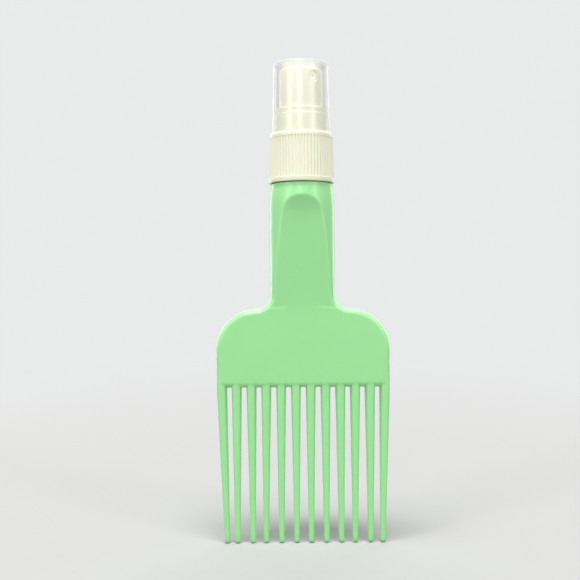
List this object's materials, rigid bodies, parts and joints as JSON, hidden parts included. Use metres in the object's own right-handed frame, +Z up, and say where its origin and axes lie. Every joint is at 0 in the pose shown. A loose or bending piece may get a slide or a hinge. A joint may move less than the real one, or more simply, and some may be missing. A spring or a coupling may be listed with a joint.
{
  "type": "afro pick",
  "caption": "Wide-toothed afro pick whose round hollow handle is a bottle, closed by a screw-on fine-mist pump sprayer under a clear cap.",
  "frame": {"origin": "on the handle's axis, at the tips of the teeth", "axes": "+Z up the handle towards the sprayer, X along the blade, front towards -Y"},
  "size_m": [0.073, 0.0276, 0.2017],
  "materials": {
    "comb_green": "moulded mint-green plastic, glossy",
    "closure_white": "moulded white polypropylene",
    "hood_clear": "thin translucent polypropylene",
    "actuator_white": "moulded white polypropylene",
    "insert_white": "moulded white acetal",
    "pump_white": "natural white polypropylene",
    "gasket_grey": "soft foamed polyethylene washer",
    "stem_white": "moulded white polypropylene",
    "poppet_grey": "moulded polyethylene",
    "piston_blue": "soft low-density polyethylene",
    "spring_steel": "stainless steel wire",
    "ball_steel": "polished stainless steel",
    "tube_clear": "translucent extruded polyethylene"
  },
  "bodies": {
    "comb": {"comb_body": "comb_green"},
    "pump": {"pump_housing": "pump_white", "pump_collar": "pump_white", "neck_gasket": "gasket_grey", "dip_tube": "tube_clear", "return_spring": "spring_steel"},
    "closure_ring": {"closure": "closure_white"},
    "cap": {"hood": "hood_clear"},
    "plunger": {"stem": "stem_white", "poppet": "poppet_grey"},
    "button": {"actuator": "actuator_white", "nozzle_insert": "insert_white"},
    "pump_piston": {"piston": "piston_blue"},
    "valve_ball": {"check_ball": "ball_steel"}
  },
  "joints": [
    {"name": "sprayer_lift", "type": "slide", "parent": "comb", "child": "pump", "axis": [0, 0, 1], "range_m": [0, 0.00476]},
    {"name": "closure_turn", "type": "hinge", "parent": "pump", "child": "closure_ring", "pos_m": [0, 0, 0.152], "axis": [0, 0, 1], "range_deg": [0, 540]},
    {"name": "cap_pull", "type": "slide", "parent": "closure_ring", "child": "cap", "axis": [0, 0, 1], "range_m": [0, 0.035]},
    {"name": "plunger_press", "type": "slide", "parent": "pump", "child": "plunger", "axis": [0, 0, -1], "range_m": [0, 0.0052], "stiffness_N_per_m": 600, "springref_m": -0.004, "deforming": ["return_spring"]},
    {"name": "nozzle_aim", "type": "hinge", "parent": "plunger", "child": "button", "pos_m": [0, 0, 0.19], "axis": [0, 0, 1], "continuous": true},
    {"name": "piston_travel", "type": "slide", "parent": "pump", "child": "pump_piston", "axis": [0, 0, -1], "range_m": [0, 0.0044]},
    {"name": "ball_lift", "type": "slide", "parent": "pump", "child": "valve_ball", "axis": [0, 0, 1], "range_m": [0, 0.0008]}
  ],
  "couplings": [
    {"joint": "closure_turn", "follows": "sprayer_lift", "rad_per_m": 1979},
    {"joint": "piston_travel", "follows": "plunger_press", "ratio": 0.84615}
  ]
}
